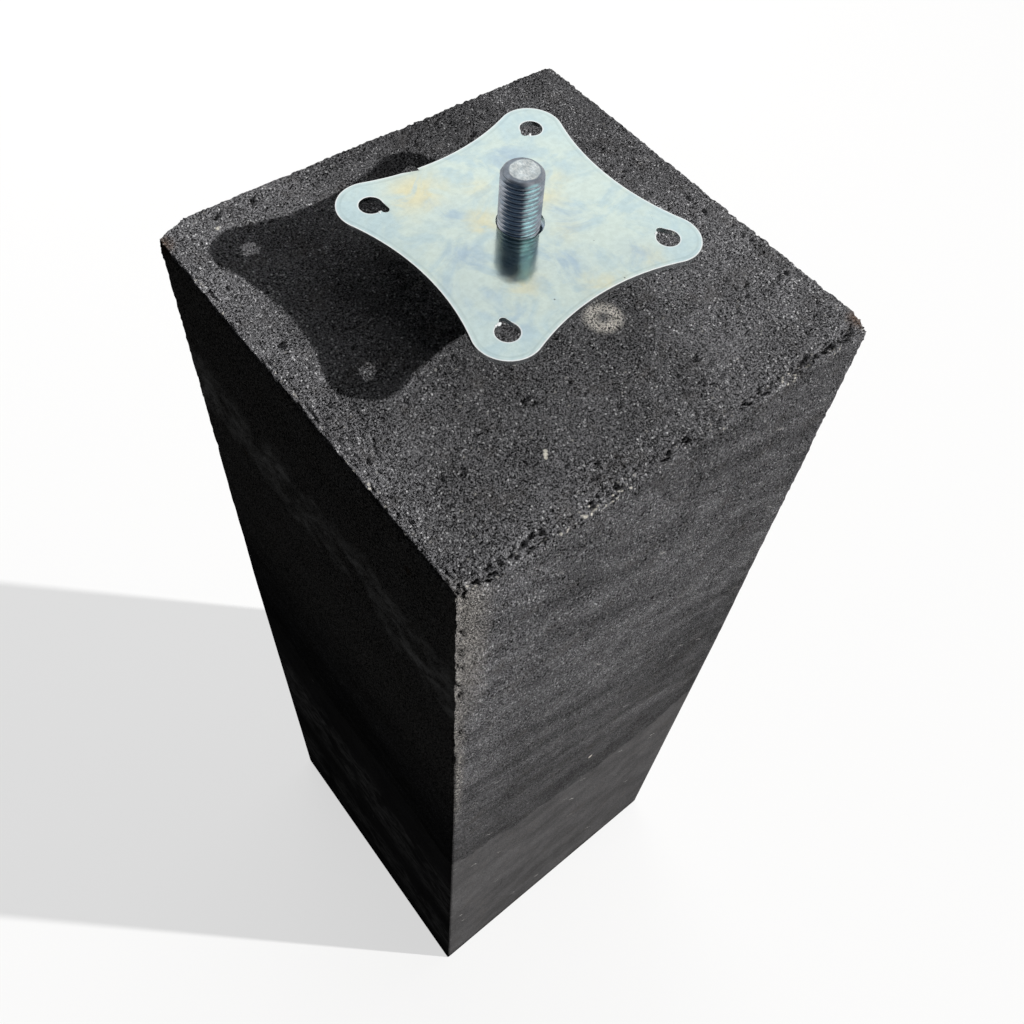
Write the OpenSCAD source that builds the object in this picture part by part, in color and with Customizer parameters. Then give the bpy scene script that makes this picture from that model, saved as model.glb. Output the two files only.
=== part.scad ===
// Concrete deck pier block with a cast-in stud, an adjusting nut and a head plate.
// The origin is the middle of the block's underside, with Z up, in millimetres.
// Seen from the corner at -X -Y: that corner is the front one, -X +Y is the left one,
// +X -Y is the right one and +X +Y is the back one.

/* [Block] */
// Width of each side of the square block
block_w = 200; // [150:1:300]
// Height of the block
block_h = 600; // [300:5:800]
// Bevel along the four top edges
edge_bevel = 1.5; // [0.5:0.25:4]

/* [Corner chamfers] */
// Depth below the top at which the corner chamfers die out
corner_drop = 280; // [100:5:295]
// Front corner, chamfer leg along X
front_leg_x = 10; // [3:0.5:25]
// Front corner, chamfer leg along Y
front_leg_y = 5; // [3:0.5:25]
// Left corner, chamfer leg along X
left_leg_x = 16; // [3:0.5:25]
// Left corner, chamfer leg along Y
left_leg_y = 6; // [3:0.5:25]
// Right corner, chamfer leg along X
right_leg_x = 5; // [3:0.5:25]
// Right corner, chamfer leg along Y
right_leg_y = 14; // [3:0.5:25]
// Back corner, chamfer leg along X
back_leg_x = 5; // [2:0.5:25]
// Back corner, chamfer leg along Y
back_leg_y = 2; // [2:0.5:25]

/* [Stud] */
// Thread size of the stud, across the crests
stud_d = 16; // [12:1:20]
// Length of stud that stands above the concrete
stud_above = 52; // [45:1:90]
// Length of stud that is cast into the concrete
stud_embed = 100; // [60:5:200]
// Bevel at each end of the stud
stud_bevel = 1.5; // [0.5:0.25:2.5]

/* [Head plate] */
// Thickness of the plate
plate_t = 2; // [1.5:0.25:6]
// Height of the plate's underside above the concrete, as it is set
plate_gap = 26; // [20:0.5:36]
// Angle that the plate is turned about the stud, as it is set
plate_turn = 2; // [-45:1:45]
// Distance between the corner holes, along each side
hole_pitch = 77; // [70:0.5:100]
// Diameter of the corner holes
hole_d = 9; // [6:0.5:12]
// Radius of the round lobe about each corner hole
lobe_r = 12.8; // [12:0.2:18]
// Distance by which each side curves in, from the line across its two lobes
side_dip = 7; // [4:0.5:9]
// Clearance all round between the stud and the plate's middle hole
stud_clear = 1; // [0.5:0.25:2]
// Share of that clearance by which the loose plate has slipped to one side
slip_share = 0.9; // [0:0.1:0.9]
// Direction of that slip
slip_angle = 13; // [0:1:359]

/* [Cutting marks on the plate] */
// Width of the slot where the cut of each corner hole started
lead_w = 3; // [1:0.25:3.5]
// Reach of the longest start slot from the middle of its hole
lead_reach = 6.4; // [5:0.2:7]
// Distance of the slot's outer wall inside the line that touches the hole
lead_inset = 0.1; // [0.05:0.05:0.5]
// Width of the nick where the cut of the outline started
nick_w = 6.5; // [2:0.5:8]
// Depth of that nick at its steep end
nick_depth = 1.4; // [0.4:0.2:2]
// Distance of the nick's steep end from the middle of its side
nick_off = 12.5; // [5:0.5:18]

/* [Adjusting nut] */
// Width of the nut across its flats
nut_flats = 24; // [22:1:30]
// Height of the nut
nut_h = 13; // [8:0.5:16]
// Clearance all round between the stud and the nut's thread
nut_clear = 0.1; // [0.05:0.05:0.2]

/* [Hidden] */
$fn = 96;
concrete_color = [0.13, 0.13, 0.135];
zinc_color = [0.78, 0.84, 0.84];
stud_color = [0.45, 0.52, 0.58];
// Overshoot of every cut past the face that it opens
over = 1;
// Angle of the nut's end bevels from its flat faces, and of the countersinks of its bore
nut_bevel_angle = 30;
// Height of the countersink at each end of the nut's bore
countersink_h = 0.8;
// Share of the width across its flats that the nut's round end faces take
nut_face_share = 0.97;

stud_r = stud_d / 2;
plate_z = block_h + plate_gap;
nut_z = plate_z - nut_h;
half_pitch = hole_pitch / 2;
// Half the width of the plate at the middle of a side
waist = half_pitch + lobe_r - side_dip;
// Radius of the curved side that runs smoothly into the lobes at its two ends
side_rise = waist - half_pitch;
side_r = (half_pitch ^ 2 + side_rise ^ 2 - lobe_r ^ 2) / (2 * (lobe_r - side_rise));
// The point where a lobe meets the curved side at +X
meet_x = half_pitch + lobe_r * (side_r + side_rise) / (side_r + lobe_r);
meet_y = half_pitch - lobe_r * half_pitch / (side_r + lobe_r);
// Each corner hole: signs of its place, direction of its start slot, share of the reach,
// and the side on which the slot runs along the hole's wall, 1 for left and -1 for right
HOLES = [[-1, 1, -90, 1, 1], [1, 1, 238, 0.7, -1], [1, -1, 123, 0.8, -1], [-1, -1, 100, 0.92, -1]];
// Each block corner: signs of its place, chamfer leg along X, chamfer leg along Y
CORNERS = [[-1, -1, front_leg_x, front_leg_y],
           [-1, 1, left_leg_x, left_leg_y],
           [1, -1, right_leg_x, right_leg_y],
           [1, 1, back_leg_x, back_leg_y]];

// Everything on the outer side of a plane through a point, towards the given direction
module beyond(point, out, size) {
    translate(point)
        rotate([0, acos(out.z / norm(out)), atan2(out.y, out.x)])
            translate([-size, -size, 0])
                cube([2 * size, 2 * size, size]);
}

// The sloping cut that chamfers one corner at the top and dies out at corner_drop
module corner_cut(corner) {
    out = [corner[0] / corner[2], corner[1] / corner[3], 1 / corner_drop];
    tip = [corner[0] * block_w / 2, corner[1] * block_w / 2, block_h - corner_drop];
    beyond(tip, out, 2 * corner_drop);
}

module concrete_block() {
    color(concrete_color)
        difference() {
            translate([-block_w / 2, -block_w / 2, 0])
                cube([block_w, block_w, block_h]);
            for (side = [0:3])
                rotate([0, 0, 90 * side])
                    beyond([block_w / 2 - edge_bevel, 0, block_h], [1, 0, 1], block_w);
            for (corner = CORNERS)
                corner_cut(corner);
            translate([0, 0, block_h - stud_embed])
                cylinder(r = stud_r, h = stud_embed + over);
        }
}

module threaded_stud() {
    bottom = block_h - stud_embed;
    top = block_h + stud_above;
    color(stud_color)
        rotate_extrude()
            polygon([[0, bottom], [stud_r - stud_bevel, bottom], [stud_r, bottom + stud_bevel],
                     [stud_r, top - stud_bevel], [stud_r - stud_bevel, top], [0, top]]);
}

// The hexagon of the nut, with its corners bevelled off at both ends
module nut_blank() {
    corner_r = nut_flats / 2 / cos(30);
    bevel_r = nut_flats / 2 * nut_face_share;
    bevel_h = (corner_r - bevel_r) * tan(nut_bevel_angle);
    intersection() {
        cylinder(r = corner_r, h = nut_h, $fn = 6);
        rotate_extrude()
            polygon([[0, 0], [bevel_r, 0], [corner_r, bevel_h],
                     [corner_r, nut_h - bevel_h], [bevel_r, nut_h], [0, nut_h]]);
    }
}

// The nut's bore, with a countersink at both ends
module nut_bore() {
    bore_r = stud_r + nut_clear;
    mouth_r = bore_r + (countersink_h + over) / tan(nut_bevel_angle);
    translate([0, 0, -over])
        cylinder(r = bore_r, h = nut_h + 2 * over);
    for (end = [0, 1])
        translate([0, 0, end * nut_h])
            mirror([0, 0, end])
                translate([0, 0, -over])
                    cylinder(r1 = mouth_r, r2 = bore_r, h = countersink_h + over);
}

module adjusting_nut() {
    color(zinc_color)
        translate([0, 0, nut_z])
            difference() {
                nut_blank();
                nut_bore();
            }
}

// The plate's outline: four round lobes joined by four sides that curve in
module plate_outline() {
    difference() {
        polygon([for (side = [0:3], sign = [-1, 1])
            [meet_x * cos(90 * side) - sign * meet_y * sin(90 * side),
             meet_x * sin(90 * side) + sign * meet_y * cos(90 * side)]]);
        for (side = [0:3])
            rotate(90 * side)
                translate([waist + side_r, 0])
                    circle(r = side_r, $fn = 360);
    }
    for (hole = HOLES)
        translate([hole[0] * half_pitch, hole[1] * half_pitch])
            circle(r = lobe_r);
}

// The slot where the cut of a corner hole started, which runs into the hole along its wall
module start_slot(hole) {
    hole_r = hole_d / 2;
    end_x = lead_reach * hole[3] - lead_w / 2;
    rotate(hole[2])
        translate([0, hole[4] * (hole_r - lead_inset - lead_w / 2), -over]) {
            translate([0, -lead_w / 2, 0])
                cube([end_x, lead_w, plate_t + 2 * over]);
            translate([end_x, 0, 0])
                cylinder(d = lead_w, h = plate_t + 2 * over);
        }
}

// Height of the curved side over the plate's middle, at a distance from the side's middle
function side_at(x) = waist + side_r - sqrt(side_r ^ 2 - x ^ 2);

// The nick where the cut of the outline started, deepest at its steep end
module start_nick() {
    far = nick_off + nick_w;
    translate([0, 0, -over])
        linear_extrude(height = plate_t + 2 * over)
            polygon([[-nick_off, side_at(nick_off) - nick_depth],
                     [-nick_off, side_at(nick_off) + over],
                     [-far, side_at(far) + over],
                     [-far, side_at(far)]]);
}

// What is cut out of the plate
module plate_cuts() {
    for (hole = HOLES)
        translate([hole[0] * half_pitch, hole[1] * half_pitch, 0]) {
            translate([0, 0, -over])
                cylinder(d = hole_d, h = plate_t + 2 * over);
            start_slot(hole);
        }
    translate([0, 0, -over])
        cylinder(r = stud_r + stud_clear, h = plate_t + 2 * over);
    start_nick();
}

module head_plate() {
    slip = stud_clear * slip_share;
    color(zinc_color)
        translate([slip * cos(slip_angle), slip * sin(slip_angle), plate_z])
            rotate([0, 0, plate_turn])
                difference() {
                    linear_extrude(height = plate_t)
                        plate_outline();
                    plate_cuts();
                }
}

concrete_block();
threaded_stud();
adjusting_nut();
head_plate();
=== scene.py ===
"""The looks of a concrete deck pier block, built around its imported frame.

Metres, Z up, origin in the middle of the block's underside. Seen from the corner at -X -Y:
that corner is the front one, -X +Y the left one, +X -Y the right one and +X +Y the back one.
"""

import math

import bmesh
import bpy
from mathutils import Matrix, Vector, noise

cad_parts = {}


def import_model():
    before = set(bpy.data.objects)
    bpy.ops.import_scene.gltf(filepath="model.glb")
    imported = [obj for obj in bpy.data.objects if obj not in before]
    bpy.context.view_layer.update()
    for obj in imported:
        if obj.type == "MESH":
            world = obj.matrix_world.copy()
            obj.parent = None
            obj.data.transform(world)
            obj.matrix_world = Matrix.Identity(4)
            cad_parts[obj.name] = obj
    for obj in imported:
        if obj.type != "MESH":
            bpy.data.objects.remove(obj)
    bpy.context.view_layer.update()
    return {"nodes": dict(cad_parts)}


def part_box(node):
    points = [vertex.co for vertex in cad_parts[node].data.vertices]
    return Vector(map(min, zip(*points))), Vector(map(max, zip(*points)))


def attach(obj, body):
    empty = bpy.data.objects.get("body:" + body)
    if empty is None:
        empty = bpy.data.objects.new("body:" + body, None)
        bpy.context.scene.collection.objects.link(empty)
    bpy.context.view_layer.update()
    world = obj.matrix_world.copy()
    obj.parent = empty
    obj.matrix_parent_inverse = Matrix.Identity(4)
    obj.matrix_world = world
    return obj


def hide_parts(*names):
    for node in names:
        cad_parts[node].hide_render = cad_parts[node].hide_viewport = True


MM = 0.001

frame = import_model()

# Sizes that the frame gives
BLOCK_LOW, BLOCK_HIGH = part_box("concrete_block")
STUD_LOW, STUD_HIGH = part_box("threaded_stud")
PLATE_LOW, PLATE_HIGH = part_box("head_plate")
HALF = BLOCK_HIGH.x
TOP = BLOCK_HIGH.z
STUD_R = STUD_HIGH.x
STUD_BOTTOM = STUD_LOW.z
STUD_TOP = STUD_HIGH.z
PLATE_TOP = PLATE_HIGH.z

# The corner chamfers of the block: signs of the corner, legs along X and Y at the top
CORNER_DROP = 280 * MM
CHAMFERS = [(-1, -1, 13 * MM, 3 * MM), (-1, 1, 16 * MM, 6 * MM),
            (1, -1, 3.5 * MM, 12 * MM), (1, 1, 5 * MM, 2 * MM)]

# The mesh of the block: cells across a side, and how much closer they lie at the arrises
CELLS = 212
CROWDING = 0.4
ARRIS_R = 0.7 * MM
WEAR_R = 6 * MM
BORE_SNAP = 0.6 * MM

# Broken-out pits in the block's top: place, radius and depth in mm
TOP_PITS = [(-76, 95, 3.5, 1.8), (-60, 95, 4, 1.8), (-35, -48, 4, 1.6), (-38, -46, 2, 1.8),
            (-32, -51, 2.5, 1.4), (-90, 22, 2.2, 1.8), (77, -96, 3, 2.4), (87, -96, 4, 2.2),
            (62, -96, 3.5, 1.6), (40, 80, 3, 1.2), (70, 30, 3, 1.2), (30, -70, 2.5, 1.2)]
# Groups of small pits just inside the top's -Y arris: middle and half length in mm
ARRIS_PITS = [(-88, 6), (-70, 8), (-37, 10), (-5, 12), (36, 11), (68, 14), (87, 8)]

# The plate's outline, in mm from its middle and in the directions of its own sides
PLATE_MIDDLE = Vector((0.877, 0.202, 628))
PLATE_TURN = 2
HOLE_OUT = 38.5
HOLE_R = 4.5
LOBE_R = 12.8
SIDE_OUT = 140.88
SIDE_R = 96.58
LOBE_END = 60.9 * MM

# The stud's thread
PITCH = 2 * MM
THREAD_DEPTH = 0.9 * MM
THREAD_BOTTOM = TOP - 6 * MM
STUD_BEVEL = 1.5 * MM
TURN_STEPS = 72


def smooth(value, low, high):
    """0 below low, 1 above high, with a smooth rise between them."""
    t = min(max((value - low) / (high - low), 0), 1)
    return t * t * (3 - 2 * t)


def new_piece(name, mesh, body, slot, *nodes):
    """Puts a mesh in the scene as a piece of the object that replaces these nodes."""
    piece = bpy.data.objects.new(name, mesh)
    bpy.context.scene.collection.objects.link(piece)
    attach(piece, body)
    if nodes:
        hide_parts(*nodes)
    return piece


# Concrete: the mesh

def grown_rows(start, end, step, growth):
    """Heights from start down to end, each step longer than the last by growth."""
    rows = []
    height = start - step
    while height > end + step / 2:
        rows.append(height)
        step *= growth
        height -= step
    return rows + [end]


def across(step, cells):
    """Place of a grid line between -HALF and HALF. The lines lie closer near the arrises."""
    t = 2 * step / cells - 1
    return HALF * ((1 - CROWDING) * t + CROWDING * math.sin(t * math.pi / 2))


def ring_point(k, cells, height):
    """Point k of a square ring of 4 * cells points round the block, from the front corner."""
    side, step = divmod(k, cells)
    along = across(step, cells)
    x, y = [(along, -HALF), (HALF, along), (-along, HALF), (-HALF, -along)][side]
    return (x, y, height)


def block_grid():
    """Points and faces of the block's plain box: a fine top, and sides that get coarser
    downwards, where each band of rows has half as many columns as the one above it."""
    points = []
    faces = []
    for j in range(CELLS + 1):
        for i in range(CELLS + 1):
            points.append((across(i, CELLS), across(j, CELLS), TOP))
    row = CELLS + 1
    for j in range(CELLS):
        for i in range(CELLS):
            middle = math.hypot(across(i + 0.5, CELLS), across(j + 0.5, CELLS))
            if middle > STUD_R + BORE_SNAP:
                a = j * row + i
                faces.append((a, a + 1, a + 1 + row, a + row))

    ring = [i for i in range(CELLS)]
    ring += [CELLS + j * row for j in range(CELLS)]
    ring += [CELLS * row + CELLS - i for i in range(CELLS)]
    ring += [(CELLS - j) * row for j in range(CELLS)]

    bands = [(TOP, TOP - 10 * MM, 0.8 * MM, 1.0, 1),
             (TOP - 10 * MM, TOP - 130 * MM, 1.9 * MM, 1.003, 2),
             (TOP - 130 * MM, 0, 3.6 * MM, 1.013, 4)]
    for start, end, row_step, growth, share in bands:
        cells = CELLS // share
        for level, height in enumerate(grown_rows(start, end, row_step, growth)):
            first = len(points)
            points += [ring_point(k, cells, height) for k in range(4 * cells)]
            new = list(range(first, len(points)))
            if len(ring) == len(new):
                for k in range(len(new)):
                    n = (k + 1) % len(new)
                    faces.append((ring[k], new[k], new[n], ring[n]))
            else:
                for k in range(len(new)):
                    n = (k + 1) % len(new)
                    a, b, c = ring[2 * k], ring[2 * k + 1], ring[(2 * k + 2) % len(ring)]
                    faces += [(a, new[k], b), (b, new[k], new[n]), (b, new[n], c)]
            ring = new
    faces.append(tuple(reversed(ring)))
    return points, faces


def within(p, margin):
    """The nearest place that lies margin or more inside the block's sides and top."""
    return Vector((min(max(p.x, margin - HALF), HALF - margin),
                   min(max(p.y, margin - HALF), HALF - margin), min(p.z, TOP - margin)))


def worn_box(point):
    """Moves a point of the plain box to the block's surface with round arrises and chamfers."""
    p = Vector(point)
    core = within(p, ARRIS_R)
    p = core + (p - core).normalized() * ARRIS_R
    for sign_x, sign_y, leg_x, leg_y in CHAMFERS:
        out = Vector((sign_x / leg_x, sign_y / leg_y, 1 / CORNER_DROP)).normalized()
        tip = Vector((sign_x * HALF, sign_y * HALF, TOP - CORNER_DROP))
        wobble = 0.7 * MM * noise.noise(p / (9 * MM)) * smooth(p.z, TOP - CORNER_DROP, TOP)
        over = out.dot(p - tip) + wobble
        if over > 0:
            p -= out * over
    return p


def crumble(plain):
    """How far the arrises have broken away, by the point of the plain box: most along the
    top of the -Y and -X faces and down the upper front corner."""
    west, south, below = plain.x + HALF / MM, plain.y + HALF / MM, TOP / MM - plain.z
    east, north = HALF / MM - plain.x, HALF / MM - plain.y
    upper = smooth(below, 260, 60)
    ragged = 1 + 0.8 * noise.cell(plain / 2.1)
    arrises = [(1.0, max(south, below)), (0.8, max(west, below)), (0.2, max(east, below)),
               (0.2, max(north, below)), (1.3 * upper * ragged, max(west, south)),
               (0.3 * upper * ragged, max(east, south)), (0.12 * upper, max(west, north)),
               (0.2 * upper, max(east, north))]
    broken = 0.4 + 1.8 * abs(noise.noise(plain / 1.7))
    patchy = smooth(noise.noise(plain / 9 + Vector((1, 5, 9))), -0.5, 0.4)
    return sum(share * smooth(edge, 5, 0.4) for share, edge in arrises) * patchy * broken


def broken_pits(plain):
    """Pits with ragged outlines: the ones listed, and those along the -Y arris."""
    rag = noise.noise(plain / 2.1) + 0.6 * noise.noise(plain / 1.1)
    deepest = 0
    for x, y, radius, depth in TOP_PITS:
        far = math.hypot(plain.x - x, plain.y - y) / radius + 0.6 * rag
        deepest = max(deepest, depth * smooth(far, 1, 0.3))
    row = math.exp(-((plain.y + HALF / MM - 3.2) / 2.8) ** 2)
    near = max(smooth(abs(plain.x - x), half, half / 2) for x, half in ARRIS_PITS)
    crater = noise.noise(plain / 2.5 + Vector((3, 0, 5))) + 0.6 * noise.noise(plain / 1.2)
    return max(deepest, 3.6 * row * (0.35 + 0.65 * near) * smooth(crater, 0.0, 0.40))


def roughness_at(plain, up):
    """How far the cast surface lies under the block's even shape, by the point of the
    plain box in mm. Up is 1 on the top and 0 on the sides."""
    coarse = max(up, 0.75 * smooth(plain.z, 250, 570))
    patch = smooth(noise.noise(plain / 19 + Vector((4, 8, 2))), -0.35, 0.35)
    swell = 0.07 * (1 + noise.noise(plain / 48))
    lumps = 0.22 * (0.5 + noise.noise(plain / 6.5))
    grain = 0.70 * abs(noise.noise(plain / 2.7 + Vector((9, 3, 7))))
    fine = 0.30 * (1 + noise.cell(plain / 0.9)) + 0.45 * abs(noise.noise(plain / 1.3))
    holes = max(0, noise.noise(plain / 2.3 + Vector((5, 1, 8))) - 0.22)
    depth = swell + coarse * ((0.3 + 0.7 * up) * (lumps + grain * (0.6 + 0.6 * patch)) + fine)
    depth += (0.35 + 0.65 * up) * coarse * 3.0 * patch * holes
    depth += crumble(plain)
    if up > 0:
        depth += up * broken_pits(plain)
    return min(depth, 4) * MM


def concrete_mesh():
    points, faces = block_grid()
    mesh = bpy.data.meshes.new("concrete_block")
    mesh.from_pydata([worn_box(p) for p in points], [], faces)
    work = bmesh.new()
    work.from_mesh(mesh)
    for v, point in zip(work.verts, points):
        out = (v.co - within(v.co, WEAR_R)).normalized()
        up = smooth(out.z, 0.3, 0.8)
        low = smooth(v.co.z, 0, 4 * MM)
        v.co -= out * roughness_at(Vector(point) / MM, up) * low
        v.co.z = max(v.co.z, 0)

    rim = [e for e in work.edges if e.is_boundary]
    for v in {v for e in rim for v in e.verts}:
        v.co.xy = v.co.xy.normalized() * STUD_R
    wall = bmesh.ops.extrude_edge_only(work, edges=rim)["geom"]
    for v in wall:
        if isinstance(v, bmesh.types.BMVert):
            v.co.z = STUD_BOTTOM
    end = [e for e in wall if isinstance(e, bmesh.types.BMEdge)]
    bmesh.ops.contextual_create(work, geom=end)
    bmesh.ops.recalc_face_normals(work, faces=work.faces)
    for f in work.faces:
        f.smooth = True
    work.to_mesh(mesh)
    work.free()
    return mesh


# Stud: the mesh

def thread_radius(turn):
    """Radius of the thread's profile at a share of the pitch, with a flat crest and root."""
    t = abs((turn % 1) - 0.5) * 2
    return STUD_R - THREAD_DEPTH * smooth(t, 0.16, 0.80)


def stud_mesh():
    """A right-hand thread: rows of points that climb one pitch in each turn, a flat top end
    and a plain lower part in the concrete."""
    profile = 12
    low = int((THREAD_BOTTOM - STUD_TOP) / PITCH)
    work = bmesh.new()
    turn = [2 * math.pi * i / TURN_STEPS for i in range(TURN_STEPS + 1)]
    grid = []
    for z, radius in ((STUD_BOTTOM, 0), (STUD_BOTTOM, STUD_R - STUD_BEVEL),
                      (STUD_BOTTOM + STUD_BEVEL, STUD_R)):
        grid.append([work.verts.new((radius * math.cos(a), radius * math.sin(a), z))
                     for a in turn])
    for j in range(low * profile, profile + 1):
        line = []
        for a in turn:
            above = PITCH * (j / profile + a / (2 * math.pi))
            radius = min(thread_radius(j / profile), STUD_R - STUD_BEVEL + max(-above, 0))
            if above > 0:
                radius *= 1 - min(above / PITCH, 1)
            line.append(work.verts.new((radius * math.cos(a), radius * math.sin(a),
                                        STUD_TOP + min(above, 0))))
        grid.append(line)
    for a, b in zip(grid, grid[1:]):
        for i in range(TURN_STEPS):
            work.faces.new((a[i], a[i + 1], b[i + 1], b[i]))
    bmesh.ops.remove_doubles(work, verts=work.verts, dist=0.01 * MM)
    bmesh.ops.dissolve_degenerate(work, edges=work.edges, dist=0.005 * MM)
    bmesh.ops.recalc_face_normals(work, faces=work.faces)
    mesh = bpy.data.meshes.new("threaded_stud")
    for f in work.faces:
        f.smooth = True
    work.to_mesh(mesh)
    work.free()
    return mesh


# Burrs: small lumps of metal that the cutting left at the rims of the corner holes

# Place on the plate, length, width and direction of each, in mm and degrees
BURRS = [(-38.5, 32.4, 1.6, 0.6, 80), (35.0, 37.0, 1.8, 0.9, 40), (38.5, -32.6, 2.0, 0.9, 30),
         (-36.5, -35.1, 2.2, 1.4, 10), (-37.9, -35.2, 1.2, 0.8, 60)]


def burr_mesh():
    """Each burr is a flattened lump with an uneven skin that sits on the plate."""
    work = bmesh.new()
    for x, y, length, width, angle in BURRS:
        lump = bmesh.ops.create_icosphere(work, subdivisions=3, radius=1)["verts"]
        turned = math.radians(angle)
        for v in lump:
            swell = 1 + 0.35 * noise.noise(v.co * 1.7 + Vector((x, y, 0)))
            along, aside = v.co.x * length / 2 * swell, v.co.y * width / 2 * swell
            v.co = Vector((x + along * math.cos(turned) - aside * math.sin(turned),
                           y + along * math.sin(turned) + aside * math.cos(turned),
                           PLATE_TOP / MM + 0.35 * v.co.z * swell)) * MM
    mesh = bpy.data.meshes.new("cut_burrs")
    for f in work.faces:
        f.smooth = True
    work.to_mesh(mesh)
    work.free()
    return mesh


# Materials

class Paint:
    """Builds one node material. Each method adds a node and returns its output socket."""

    def __init__(self, name):
        self.material = bpy.data.materials.new(name)
        self.material.use_nodes = True
        self.tree = self.material.node_tree
        self.tree.nodes.clear()
        self.place = self.node("ShaderNodeTexCoord").outputs["Object"]
        parts = self.node("ShaderNodeSeparateXYZ", Vector=self.place)
        self.x, self.y, self.z = parts.outputs
        self.face = self.node("ShaderNodeNewGeometry").outputs["Normal"]

    def node(self, kind, settings=(), **inputs):
        made = self.tree.nodes.new(kind)
        for name, value in dict(settings).items():
            setattr(made, name, value)
        for name, value in inputs.items():
            self.feed(made.inputs[name.replace("_", " ")], value)
        return made

    def feed(self, socket, value):
        if isinstance(value, bpy.types.NodeSocket):
            self.tree.links.new(value, socket)
        else:
            socket.default_value = value

    def maths(self, operation, a, b=0.0):
        made = self.node("ShaderNodeMath", {"operation": operation})
        self.feed(made.inputs[0], a)
        self.feed(made.inputs[1], b)
        return made.outputs[0]

    def times(self, *values):
        result = values[0]
        for value in values[1:]:
            result = self.maths("MULTIPLY", result, value)
        return result

    def plus(self, *values):
        result = values[0]
        for value in values[1:]:
            result = self.maths("ADD", result, value)
        return result

    def span(self, value, low, high, start=0.0, end=1.0):
        """start below low, end above high, with a smooth change between them."""
        made = self.node("ShaderNodeMapRange", {"interpolation_type": "SMOOTHSTEP"})
        for socket, number in zip(made.inputs, (value, low, high, start, end)):
            self.feed(socket, number)
        return made.outputs[0]

    def spread(self, scale, offset=(0, 0, 0)):
        """The place, scaled by its own factor along each axis, for drawn-out patterns."""
        made = self.node("ShaderNodeMapping", Vector=self.place)
        made.inputs["Scale"].default_value = scale
        made.inputs["Location"].default_value = offset
        return made.outputs[0]

    def clouds(self, size, detail=3.0, rough=0.55, place=None, distortion=0.0):
        """Noise from 0 to 1 whose features are about size across."""
        return self.node("ShaderNodeTexNoise", Vector=place or self.place, Scale=1 / size,
                         Detail=detail, Roughness=rough, Distortion=distortion).outputs["Fac"]

    def cells(self, size, place=None):
        """Distance to the nearest of points scattered about size apart, and their colour."""
        made = self.node("ShaderNodeTexVoronoi", Vector=place or self.place, Scale=1 / size)
        return made.outputs["Distance"], made.outputs["Color"]

    def blend(self, share, a, b):
        """Colour a where share is 0, colour b where it is 1."""
        made = self.node("ShaderNodeMix", {"data_type": "RGBA"})
        self.feed(made.inputs["Factor"], share)
        self.feed(made.inputs[6], a)
        self.feed(made.inputs[7], b)
        return made.outputs[2]

    def lit(self, colour, share):
        """The colour made lighter or darker by a factor."""
        made = self.node("ShaderNodeVectorMath", {"operation": "SCALE"})
        self.feed(made.inputs[0], colour)
        self.feed(made.inputs["Scale"], share)
        return made.outputs[0]

    def away(self, x, y, z, place=None):
        """Distance from a place given in mm."""
        made = self.node("ShaderNodeVectorMath", {"operation": "DISTANCE"})
        self.feed(made.inputs[0], place or self.place)
        made.inputs[1].default_value = (x * MM, y * MM, z * MM)
        return made.outputs["Value"]

    def spot(self, x, y, z, radius, soft=0.5, place=None):
        """1 in a ball about a place, falling to 0 at its edge."""
        far = self.away(x, y, z, place)
        return self.span(far, radius * MM, radius * (1 - soft) * MM)

    def ring(self, x, y, z, radius, half_width):
        """1 on a ring about a place, falling to 0 at half_width beside it."""
        off = self.maths("ABSOLUTE", self.plus(self.away(x, y, z), -radius * MM))
        return self.span(off, half_width * MM, 0)

    def bend(self, place, amount, size):
        """The place, pushed about by noise, so that round forms come out uneven."""
        noise_node = self.node("ShaderNodeTexNoise", Vector=place, Scale=1 / size, Detail=2.0)
        pushed = self.node("ShaderNodeVectorMath", {"operation": "MULTIPLY_ADD"})
        self.feed(pushed.inputs[0], noise_node.outputs["Color"])
        pushed.inputs[1].default_value = (amount, amount, 0)
        self.feed(pushed.inputs[2], place)
        moved = self.node("ShaderNodeVectorMath", {"operation": "ADD"})
        self.feed(moved.inputs[0], pushed.outputs[0])
        moved.inputs[1].default_value = (-amount / 2, -amount / 2, 0)
        return moved.outputs[0]

    def bump(self, height, distance, strength=1.0):
        return self.node("ShaderNodeBump", Height=height, Distance=distance,
                         Strength=strength).outputs["Normal"]

    def finish(self, **inputs):
        shader = self.node("ShaderNodeBsdfPrincipled", **inputs)
        self.node("ShaderNodeOutputMaterial", Surface=shader.outputs[0])
        return self.material


def rgb(red, green, blue):
    return (red, green, blue, 1)


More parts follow.
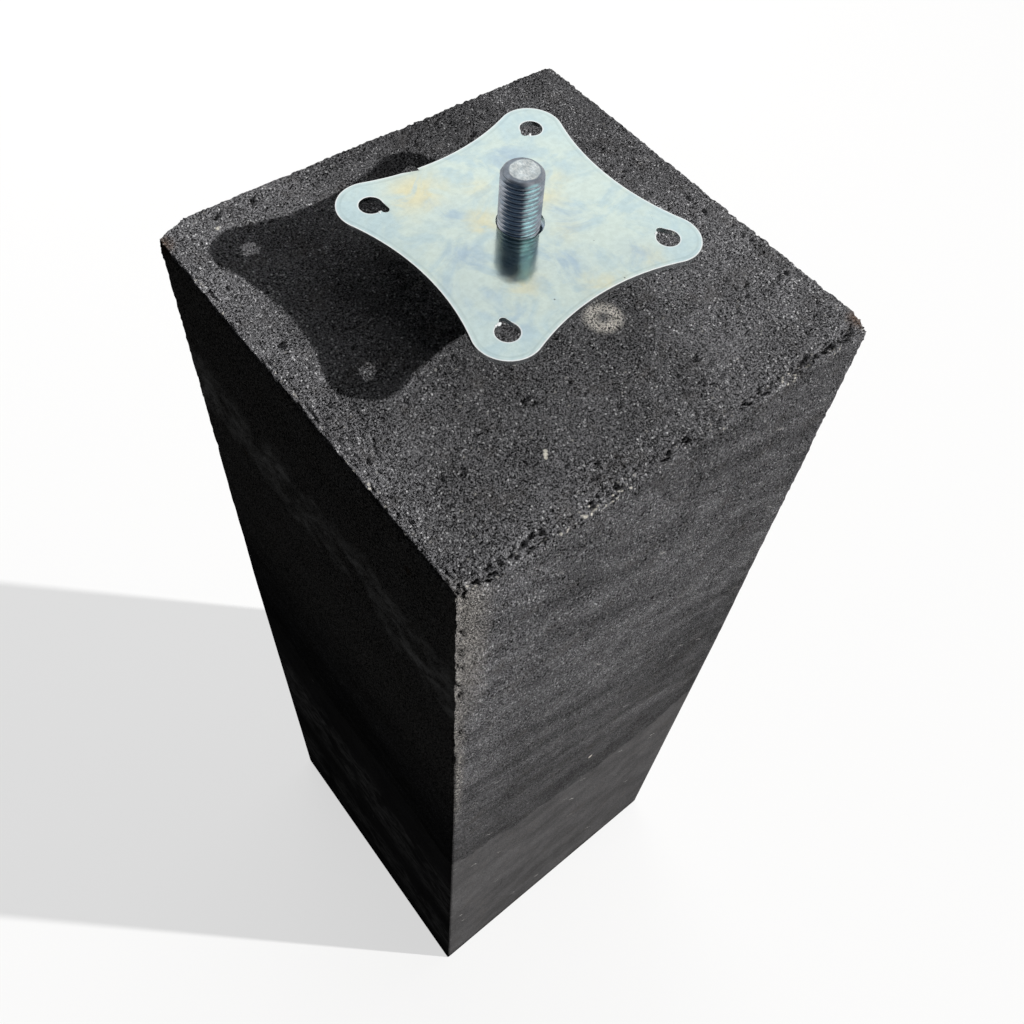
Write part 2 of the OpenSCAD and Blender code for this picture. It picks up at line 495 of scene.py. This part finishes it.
def concrete_paint():
    p = Paint("anthracite_concrete")
    up = p.span(p.z, TOP - 2.6 * MM, TOP - 1.4 * MM)
    facing = p.node("ShaderNodeSeparateXYZ", Vector=p.face).outputs[0]
    west = p.span(facing, -0.55, -0.85)

    # The smooth lower part, below a sagging line, and the darker band above it
    wave = p.plus(p.clouds(20 * MM, 4, 0.65), -0.5)
    off = p.plus(p.x, -45 * MM)
    above = p.plus(p.z, p.times(off, off, -2.2), p.times(wave, 34 * MM), -238 * MM)
    low = p.span(above, 1.5 * MM, -1 * MM)
    tilted = p.plus(p.z, p.times(p.x, 0.45), p.times(wave, 20 * MM))
    rising = p.plus(p.z, p.times(p.x, -0.35), p.times(wave, 30 * MM))
    dark = p.times(p.span(above, -2 * MM, 3 * MM), p.span(rising, 405 * MM, 335 * MM))
    coarse = p.maths("MAXIMUM", up, p.span(p.z, 230 * MM, 590 * MM, 0.42, 1.0))
    coarse = p.times(coarse, p.span(low, 0, 1, 1.0, 0.3))

    # Drag marks of the mould, drawn out along the sides
    along = p.plus(p.x, p.times(p.y, -1.0))
    drawn = p.node("ShaderNodeCombineXYZ", X=p.times(along, 0.10), Z=tilted).outputs[0]
    drag = p.clouds(14 * MM, 4, 0.55, place=drawn)

    grain = p.clouds(0.85 * MM, 3, 0.75)
    fine = p.clouds(0.5 * MM, 2, 0.6)
    tone = p.clouds(26 * MM, 4, 0.6)
    stain = p.clouds(14 * MM, 4, 0.65, place=p.spread((1, 1, 1), (0.3, 0.7, 0.1)))
    chips, chip_colour = p.cells(1.5 * MM)
    chance = p.node("ShaderNodeSeparateColor", Color=chip_colour).outputs

    grain_tone = p.plus(p.times(grain, 0.7), p.times(fine, 0.3))
    # The rough skin's grey is darkest where the grain's bump is lowest: partly the grain's own
    # colour, partly painted shade in its hollows.
    rough_grey = p.blend(p.span(grain_tone, 0.39, 0.60), rgb(0.010, 0.010, 0.011),
                         rgb(0.205, 0.204, 0.213))
    glints, glint_colour = p.cells(0.95 * MM)
    lucky = p.node("ShaderNodeSeparateColor", Color=glint_colour).outputs[0]
    bright = p.times(p.span(glints, 0.55, 0.35), p.span(lucky, 0.80, 0.98))
    rough_grey = p.blend(p.times(bright, 0.9), rough_grey, rgb(0.50, 0.50, 0.51))
    even_grey = p.blend(p.span(grain_tone, 0.30, 0.70), rgb(0.064, 0.063, 0.064),
                        rgb(0.106, 0.103, 0.104))
    base = p.blend(coarse, even_grey, rough_grey)
    base = p.lit(base, p.span(tone, 0.3, 0.7, 0.84, 1.16))
    base = p.lit(base, paler_parts(p, up))
    plain = p.maths("MAXIMUM", up, p.times(low, 0.8))
    base = p.lit(base, p.span(drag, 0.3, 0.7, p.plus(0.74, p.times(plain, 0.24)),
                              p.plus(1.24, p.times(plain, -0.20))))
    base = p.blend(p.times(p.span(stain, 0.52, 0.70), 0.35), base, rgb(0.105, 0.096, 0.090))
    core = p.times(p.span(above, -2 * MM, 2 * MM), p.span(above, 60 * MM, 6 * MM))
    base = p.lit(base, p.times(p.span(dark, 0, 1, 1.0, 0.84), p.span(core, 0, 1, 1.0, 0.82),
                               p.span(p.z, 60 * MM, 190 * MM, 0.88, 1.0)))

    # Pits and pores darkened nearly to black, as painted shade in the hollows, and pale grains
    pits = p.times(p.span(p.clouds(1.7 * MM, 3, 0.7), 0.38, 0.30), coarse)
    rougher = p.span(p.clouds(17 * MM, 3, 0.6), 0.38, 0.60, 0.45, 1.1)
    pores = p.times(p.span(p.clouds(0.8 * MM, 2, 0.6), 0.48, 0.38), p.plus(coarse, 0.15))
    base = p.lit(base, p.span(p.times(pores, rougher), 0, 1.25, 1.0, 0.04))
    base = p.blend(p.times(pits, 0.9), base, rgb(0.007, 0.007, 0.008))
    pale = p.times(p.span(chips, 0.45, 0.25), p.span(chance[0], 0.978, 0.985))
    base = p.blend(p.times(pale, coarse, 0.7), base, rgb(0.36, 0.35, 0.33))
    base = p.blend(scratches(p, tilted, along), base, rgb(0.40, 0.39, 0.38))
    streak = p.maths("ABSOLUTE", p.plus(p.z, p.times(p.x, 0.42), p.times(wave, 8 * MM),
                                          -322 * MM))
    streak = p.times(p.span(streak, 9 * MM, 0), p.span(p.x, -30 * MM, 0),
                     p.span(p.x, 80 * MM, 55 * MM), p.span(p.y, 0, -HALF))
    base = p.lit(base, p.span(streak, 0, 1, 1.0, 1.4))

    # Marks in their places
    base = p.blend(front_strip(p, grain_tone), base, rgb(0.52, 0.49, 0.46))
    base = p.blend(edge_grains(p, chips, chance), base, rgb(0.74, 0.71, 0.65))
    # A pale ring-shaped patch on the top beside the plate.
    pale_patch = p.times(p.ring(15.5, -35, 600, 4.8, 4.6), p.span(grain, 0.42, 0.54))
    base = p.blend(pale_patch, base, rgb(0.80, 0.76, 0.70))
    for x, y, z, radius in ((-42.0, -70.4, 599, 0.7), (-42.8, -71.5, 599, 0.75),
                            (-43.6, -72.6, 599, 0.6), (4, -100, 279, 1.2),
                            (-78, 87, 600, 0.9), (-44, -98, 600, 1.3), (-48, -99, 600, 1.0)):
        base = p.blend(p.spot(x, y, z, radius * 1.6), base, rgb(0.75, 0.72, 0.64))
    for x, y, z, radius in ((-101, 91, 598, 8), (98, -93, 597, 7), (-100, -70, 577, 3),
                            (-100, -23, 494, 3), (-100, 58, 500, 3)):
        rust = p.times(p.spot(x, y, z, radius, 0.8), p.span(grain_tone, 0.35, 0.6))
        base = p.blend(p.times(rust, 0.75), base, rgb(0.20, 0.105, 0.05))
    # Painted shade: the faces towards -X made darker.
    base = p.lit(base, p.span(west, 0, 1, 1.0, 0.60))
    base = p.blend(p.times(west, pale_streaks(p)), base, rgb(0.62, 0.61, 0.60))

    height = p.plus(p.times(grain, coarse), p.times(fine, coarse, 0.5),
                    p.times(pits, -0.4), p.times(drag, 0.1))
    return p.finish(Base_Color=base, Roughness=0.95, Specular_IOR_Level=0.0,
                    Normal=p.bump(height, 1.8 * MM))


def paler_parts(p, up):
    """A factor that is above 1 where the skin is paler: along the outer parts of the top and
    on the upper part of the sides, most of all beside the front corner."""
    south = p.span(p.y, -76 * MM, -98 * MM, 0, 0.38)
    west = p.span(p.x, -74 * MM, -98 * MM, 0, 0.38)
    east = p.span(p.x, 10 * MM, 70 * MM, 0, 0.52)
    back = p.span(p.plus(p.x, p.y), 50 * MM, 140 * MM, 0, -0.48)
    left = p.span(p.plus(p.y, p.times(p.x, -1.0)), 80 * MM, 175 * MM, 0, 0.65)
    outer = p.maths("MAXIMUM", p.maths("MAXIMUM", south, west), east)
    outer = p.times(up, p.plus(0.10, outer, back, left))
    sides = p.plus(1.0, p.times(up, -1.0))
    high = p.span(p.z, 385 * MM, 455 * MM, 0, 0.30)
    front = p.times(p.span(p.x, -50 * MM, -88 * MM), p.span(p.z, 400 * MM, 520 * MM, 0.1, 0.32))
    return p.plus(1.0, outer, p.times(sides, p.plus(high, front)))


def edge_grains(p, chips, chance):
    """Pale grains laid bare along the top arrises of the -Y and -X faces."""
    top = p.span(p.z, TOP - 3.6 * MM, TOP - 2.2 * MM)
    south = p.span(p.y, -HALF + 7 * MM, -HALF + 3 * MM)
    west = p.span(p.x, -HALF + 4 * MM, -HALF + 1 * MM)
    band = p.times(p.maths("MAXIMUM", south, west), top)
    groups = p.span(p.clouds(16 * MM, 2), 0.44, 0.58)
    front = p.times(p.span(p.plus(p.x, p.y, 2 * HALF), 8 * MM, 3 * MM),
                    p.span(p.z, 350 * MM, 420 * MM), p.span(p.x, -HALF, -HALF + 0.8 * MM, 0.4, 1))
    place = p.maths("MAXIMUM", p.times(band, groups), front)
    return p.times(place, p.span(chips, 0.50, 0.30), p.span(chance[1], 0.80, 0.82))


def scratches(p, tilted, along):
    """Short pale scratches on the sides, all in the direction of the drag marks."""
    steeper = p.plus(tilted, p.times(along, 0.25))
    place = p.node("ShaderNodeCombineXYZ", X=p.times(along, 0.16), Z=steeper).outputs[0]
    distance, colour = p.cells(2.6 * MM, place)
    rare = p.span(p.node("ShaderNodeSeparateColor", Color=colour).outputs[2], 0.950, 0.957)
    sides = p.span(p.z, TOP - 6 * MM, TOP - 12 * MM)
    return p.times(p.span(distance, 0.22, 0.10), rare, sides)


def front_strip(p, grain_tone):
    """The paler, brownish skin of the front corner's chamfer, near the top, and the bright
    grains along its arris."""
    corner = p.plus(p.x, p.y, 2 * HALF)
    strip = p.span(corner, 17 * MM, 5 * MM)
    reach = p.times(p.span(p.z, 470 * MM, 560 * MM), p.span(p.z, TOP + 1 * MM, TOP - 5 * MM))
    arris = p.times(p.span(p.x, -HALF + 7 * MM, -HALF + 2 * MM),
                    p.span(p.z, 330 * MM, 450 * MM), p.span(p.z, TOP - 1 * MM, TOP - 6 * MM))
    return p.maths("MAXIMUM", p.times(strip, reach, p.span(grain_tone, 0.44, 0.58, 0.15, 1.0)),
                   p.times(arris, p.span(grain_tone, 0.46, 0.58)))


def pale_streaks(p):
    """Two bands of thin pale streaks across the -X face."""
    level = p.plus(p.z, p.times(p.plus(p.clouds(30 * MM, 2), -0.5), 22 * MM))
    steep = p.plus(level, p.times(p.y, 0.35))
    drawn = p.node("ShaderNodeCombineXYZ", Y=p.times(p.y, 0.55), Z=steep).outputs[0]
    strands = p.clouds(7 * MM, 6, 0.78, place=drawn)
    share = 0.0
    for height, spread, strength in ((519, 30, 1.0), (182, 62, 0.35), (60, 50, 0.3)):
        away = p.maths("ABSOLUTE", p.plus(level, -height * MM))
        share = p.plus(p.span(away, spread * MM, spread / 3 * MM, 0, strength), share)
    blotches = p.span(p.clouds(24 * MM, 3), 0.38, 0.56)
    return p.times(share, blotches, p.span(strands, 0.36, 0.68))


def rim_lines(p):
    """A painted highlight along the plate's cut edges, where the rolled edge catches light, and a
    line of painted shade just inside it.
    """
    turn = Matrix.Rotation(math.radians(PLATE_TURN), 3, "Z")
    bright = rim_shade = 0.0
    far = p.away(*PLATE_MIDDLE)
    outside = p.span(far, LOBE_END - 0.4 * MM, LOBE_END + 0.4 * MM)
    for quarter in range(4):
        spin = Matrix.Rotation(quarter * math.pi / 2, 3, "Z")
        hole = PLATE_MIDDLE + turn @ spin @ Vector((HOLE_OUT, HOLE_OUT, 0))
        side = PLATE_MIDDLE + turn @ spin @ Vector((SIDE_OUT, 0, 0))
        lines = [(side, SIDE_R, 1.7, 1.0), (hole, LOBE_R, -1.7, outside), (hole, HOLE_R, 0, 0)]
        for place, radius, inwards, share in lines:
            line = p.times(p.ring(*place, radius, 0.8), share or 0.8)
            bright = p.maths("MAXIMUM", bright, line)
            line = p.times(p.ring(*place, radius + inwards, 0.9), share)
            rim_shade = p.maths("MAXIMUM", rim_shade, line)
    uneven = p.span(p.clouds(5 * MM, 3), 0.35, 0.6, 0.45, 1.0)
    return p.times(bright, 0.9), p.times(rim_shade, uneven)


def plate_paint():
    """Passivated zinc: pale, with soft tan and bluish clouds in their places."""
    p = Paint("passivated_zinc_plate")
    bent = p.bend(p.place, 9 * MM, 8 * MM)
    ragged = p.span(p.clouds(12 * MM, 6, 0.62, distortion=1.2), 0.32, 0.60)
    veil = p.span(p.clouds(20 * MM, 6, 0.60, place=p.spread((1, 1, 1), (0.2, 0.1, 0.4)),
                           distortion=1.6), 0.40, 0.62)
    base = p.blend(p.times(veil, 0.8), rgb(0.665, 0.772, 0.715), rgb(0.530, 0.67, 0.70))
    for x, y, radius, share in ((-22, 35, 19, 1.0), (-10, 8, 11, 0.8), (17, 5, 11, 0.7),
                                (-18, -25, 12, 0.7), (5, -41, 11, 0.8), (30, -41, 10, 0.7),
                                (12, -12, 9, 0.5), (-2, 24, 9, 0.5), (28, 12, 9, 0.5)):
        cloud = p.times(p.spot(x, y, 628, radius, 1.0, bent), ragged, share)
        base = p.blend(cloud, base, rgb(0.775, 0.745, 0.515))
    for x, y, radius in ((-37, -19, 17), (2, -26, 17), (26, -34, 13), (17, -7, 12),
                         (-33, -37, 12), (-18, 20, 11), (-26, -4, 12), (20, 30, 12)):
        cloud = p.times(p.spot(x, y, 628, radius, 1.0, bent), p.plus(0.25, veil), 0.8)
        base = p.blend(cloud, base, rgb(0.46, 0.585, 0.67))
    outer = p.span(p.away(0, 0, 628), 42 * MM, 58 * MM, 0, 0.45)
    base = p.blend(outer, base, rgb(0.575, 0.735, 0.77))
    # Painted highlight along the cut edges and painted shade just inside them.
    bright, rim_shade = rim_lines(p)
    base = p.blend(bright, p.lit(base, p.span(rim_shade, 0, 1, 1.0, 0.90)), rgb(0.96, 0.98, 0.98))
    # Painted shade: the plate made darker towards its -X -Y corner.
    side = p.span(p.plus(p.x, p.y), -60 * MM, 50 * MM, 0.88, 1.05)
    base = p.lit(base, p.times(side, p.span(p.clouds(2.5 * MM, 4, 0.65), 0.3, 0.7, 0.95, 1.05)))
    specks, colour = p.cells(3.4 * MM)
    rare = p.span(p.node("ShaderNodeSeparateColor", Color=colour).outputs[0], 0.975, 0.98)
    base = p.blend(p.times(p.span(specks, 0.12, 0.06), rare), base, rgb(0.16, 0.17, 0.18))
    waves = p.plus(p.clouds(16 * MM, 2), p.times(p.clouds(1.2 * MM, 3), 0.02))
    rough = p.span(p.clouds(9 * MM, 3), 0.3, 0.7, 0.11, 0.17)
    return p.finish(Base_Color=base, Metallic=1.0, Roughness=rough,
                    Normal=p.bump(waves, 0.22 * MM))


def bright_edge_paint():
    """Bare bright metal, as on the plate's cut edges and burrs."""
    p = Paint("bright_cut_edge")
    base = p.blend(p.clouds(1.5 * MM, 3), rgb(0.78, 0.82, 0.82), rgb(0.98, 0.98, 0.98))
    return p.finish(Base_Color=base, Metallic=0.6, Roughness=0.35,
                    Normal=p.bump(p.clouds(0.7 * MM, 3), 0.05 * MM))


def nut_paint():
    p = Paint("passivated_zinc_nut")
    cool = p.span(p.clouds(12 * MM, 4, 0.6, distortion=0.8), 0.42, 0.66)
    base = p.blend(cool, rgb(0.46, 0.52, 0.54), rgb(0.34, 0.42, 0.50))
    grain = p.clouds(0.6 * MM, 3)
    return p.finish(Base_Color=base, Metallic=1.0, Roughness=0.28,
                    Normal=p.bump(grain, 0.05 * MM))


def stud_paint():
    """Blue passivated thread, painted darker on the side facing -X as a painted dark reflection,
    with a turquoise painted highlight on the side towards -Y, and a worn end face."""
    p = Paint("passivated_zinc_stud")
    cool = p.span(p.clouds(7 * MM, 4, 0.6, distortion=0.8), 0.40, 0.66)
    grey = p.blend(cool, rgb(0.34, 0.36, 0.40), rgb(0.24, 0.28, 0.33))
    # Painted dark reflection: the thread darkened to slate on its side facing -X.
    shade = p.plus(p.times(p.x, -0.85 / STUD_R), p.times(p.y, -0.53 / STUD_R))
    grey = p.blend(p.span(shade, 0.70, 0.93), grey, rgb(0.030, 0.045, 0.070))
    # Painted highlight: a turquoise band on the side facing -Y, patchy by noise.
    towards = p.plus(p.times(p.x, -0.17 / STUD_R), p.times(p.y, -0.985 / STUD_R))
    turquoise_highlight = p.times(p.span(towards, 0.88, 0.975), p.span(p.clouds(4 * MM, 3), 0.3, 0.6, 0.45, 1.0))
    base = p.blend(turquoise_highlight, grey, rgb(0.40, 0.64, 0.68))
    end = p.span(p.z, STUD_TOP - 0.3 * MM, STUD_TOP - 0.05 * MM)
    scratch = p.clouds(0.6 * MM, 3, 0.6, place=p.spread((1, 0.5, 1)))
    smudge = p.span(p.clouds(3.2 * MM, 4, 0.65), 0.38, 0.60)
    worn = p.blend(p.times(p.span(scratch, 0.30, 0.66), p.span(smudge, 0, 1, 0.45, 1.0)),
                   rgb(0.46, 0.52, 0.54), rgb(0.78, 0.82, 0.81))
    rim = p.plus(p.away(0.5, -0.3, 652), p.times(p.clouds(3 * MM, 3), 2.2 * MM))
    worn = p.blend(p.span(rim, 6.2 * MM, 6.9 * MM), worn, rgb(0.22, 0.25, 0.29))
    base = p.blend(end, base, worn)
    bevel = p.times(p.span(p.z, STUD_TOP - 2 * STUD_BEVEL, STUD_TOP - STUD_BEVEL),
                    p.span(end, 1, 0))
    base = p.lit(base, p.times(p.span(bevel, 0, 1, 1.0, 0.72),
                               p.span(p.clouds(3 * MM, 3), 0.35, 0.65, 0.8, 1.15)))
    height = p.plus(p.times(scratch, 0.6), p.clouds(0.9 * MM, 3))
    return p.finish(Base_Color=base, Metallic=1.0, Roughness=p.span(end, 0, 1, 0.30, 0.38),
                    Normal=p.bump(height, 0.05 * MM))


# Stage: floor, world, lamps and camera

def background_share(p):
    """1 for what the camera sees, straight or in a mirror or glass, and 0 for other light."""
    path = p.node("ShaderNodeLightPath")
    seen = p.maths("MAXIMUM", path.outputs["Is Camera Ray"], path.outputs["Is Glossy Ray"])
    return p.maths("MAXIMUM", seen, path.outputs["Is Transmission Ray"])


def floor():
    p = Paint("pale_floor")
    white = p.node("ShaderNodeEmission", Color=rgb(1, 1, 1), Strength=1.0).outputs[0]
    shaded = p.node("ShaderNodeBsdfDiffuse", Color=rgb(0.9, 0.9, 0.9)).outputs[0]
    dim = p.node("ShaderNodeBsdfDiffuse", Color=rgb(0.04, 0.04, 0.04)).outputs[0]
    seen = p.node("ShaderNodeMixShader", Fac=0.65)
    p.feed(seen.inputs[1], shaded)
    p.feed(seen.inputs[2], white)
    both = p.node("ShaderNodeMixShader", Fac=background_share(p))
    p.feed(both.inputs[1], dim)
    p.feed(both.inputs[2], seen.outputs[0])
    p.node("ShaderNodeOutputMaterial", Surface=both.outputs[0])
    work = bmesh.new()
    bmesh.ops.create_grid(work, x_segments=1, y_segments=1, size=12)
    mesh = bpy.data.meshes.new("floor")
    work.to_mesh(mesh)
    work.free()
    mesh.materials.append(p.material)
    plane = bpy.data.objects.new("floor", mesh)
    plane.location.z = -0.2 * MM
    bpy.context.scene.collection.objects.link(plane)


def world():
    made = bpy.data.worlds.new("studio")
    bpy.context.scene.world = made
    made.use_nodes = True
    p = Paint.__new__(Paint)
    p.tree = made.node_tree
    p.tree.nodes.clear()
    white = p.node("ShaderNodeBackground", Color=rgb(1, 1, 1), Strength=1.0).outputs[0]
    fill = p.node("ShaderNodeBackground", Color=rgb(0.94, 0.97, 1), Strength=FILL).outputs[0]
    both = p.node("ShaderNodeMixShader", Fac=background_share(p))
    p.feed(both.inputs[1], fill)
    p.feed(both.inputs[2], white)
    p.node("ShaderNodeOutputWorld", Surface=both.outputs[0])


def lamp(name, kind, energy, towards, place=(0, 0, 3), **settings):
    light = bpy.data.lights.new(name, kind)
    light.energy = energy
    for key, value in settings.items():
        setattr(light, key, value)
    made = bpy.data.objects.new(name, light)
    made.location = place
    made.rotation_euler = Vector(towards).to_track_quat("-Z", "Y").to_euler()
    bpy.context.scene.collection.objects.link(made)
    return made


# The key lamp shines from the right corner's side; each mm of height moves a shadow by this
SHADOW_SHIFT = (-1.27, 1.20, -1)
FILL = 0.051


def lamps():
    key = lamp("key", "SUN", 5.0, SHADOW_SHIFT, angle=math.radians(1.0), color=(1, 0.99, 0.975))
    above = lamp("above", "AREA", 7.5, (-0.35, -0.1, -1), (0.8, 0.2, 2.3), size=1.2)
    behind = lamp("behind", "AREA", 14, (-0.35, -1, -0.35), (0.8, 2.1, 1.1), size=1.6)
    for light in (key, above, behind):
        light.visible_glossy = False


def camera():
    data = bpy.data.cameras.new("camera")
    data.lens = 36.152
    data.sensor_width = 36
    data.shift_x = -0.037383
    data.shift_y = -0.041468
    data.clip_start = 0.01
    made = bpy.data.objects.new("camera", data)
    made.location = (-0.191493, -0.214901, 0.883863)
    made.rotation_euler = [math.radians(a) for a in (34.85747, -5.05076, -39.49331)]
    bpy.context.scene.collection.objects.link(made)
    bpy.context.scene.camera = made


def dress(node, material, bevel, edge_material=None):
    """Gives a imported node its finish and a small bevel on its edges."""
    piece = frame["nodes"][node]
    piece.data.materials.clear()
    piece.data.materials.append(material)
    piece.modifiers.new("joined", "WELD").merge_threshold = 0.001 * MM
    made = piece.modifiers.new("edge", "BEVEL")
    made.width = bevel
    made.segments = 2
    made.limit_method = "ANGLE"
    made.angle_limit = math.radians(40)
    if edge_material:
        piece.data.materials.append(edge_material)
        made.material = 1
    piece.modifiers.new("shading", "WEIGHTED_NORMAL")


camera()
world()
lamps()
floor()

block = new_piece("cast_block", concrete_mesh(), "pier", "concrete", "concrete_block")
block.data.materials.append(concrete_paint())
stud = new_piece("stud", stud_mesh(), "pier", "zinc_stud", "threaded_stud")
stud.data.materials.append(stud_paint())
dress("adjusting_nut", nut_paint(), 0.2 * MM)
bright_edge = bright_edge_paint()
dress("head_plate", plate_paint(), 0.45 * MM, bright_edge)
burrs = new_piece("cut_burrs", burr_mesh(), "plate", "zinc_plate")
burrs.data.materials.append(bright_edge)

bpy.context.scene.view_settings.view_transform = "Standard"
